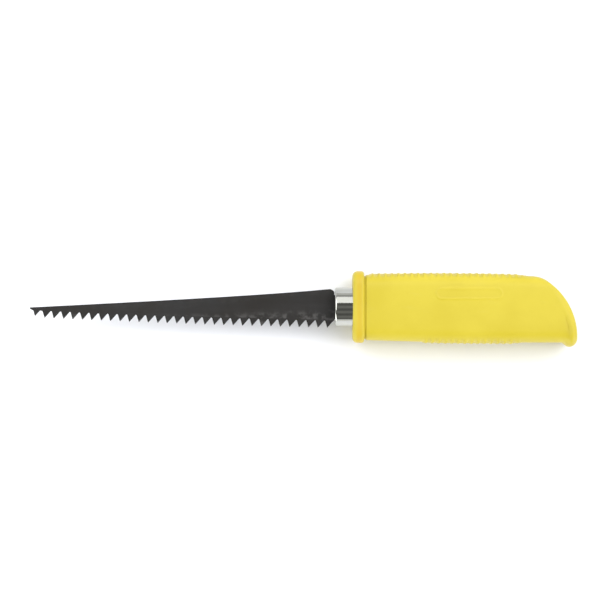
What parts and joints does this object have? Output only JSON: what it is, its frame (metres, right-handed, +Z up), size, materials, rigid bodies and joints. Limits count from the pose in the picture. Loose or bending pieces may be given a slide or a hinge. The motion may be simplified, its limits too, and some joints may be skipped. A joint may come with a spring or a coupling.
{
  "type": "drywall saw",
  "caption": "Push-cut jab saw: a pointed, toothed steel blade in a chrome handle tube with a ribbed yellow vinyl grip, for cutting holes in plasterboard.",
  "frame": {"origin": "centre of the footprint, on the surface that the saw lies on", "axes": "+X from the blade's point to the butt of the grip, +Y from the teeth to the spine, +Z up through the saw's thickness as it lies on its side"},
  "size_m": [0.2944, 0.0408, 0.0296],
  "materials": {
    "blade": "satin black blued steel",
    "handle_tube": "polished chrome plate",
    "tang_packer": "moulded black plastic",
    "rivet": "plain steel with flush ends",
    "grip": "soft vinyl with a fine grain"
  },
  "bodies": {
    "root": {"blade": "blade", "handle_tube": "handle_tube", "tang_packer_left": "tang_packer", "tang_packer_right": "tang_packer", "rivet_front": "rivet", "rivet_rear": "rivet", "grip": "grip"}
  },
  "joints": []
}
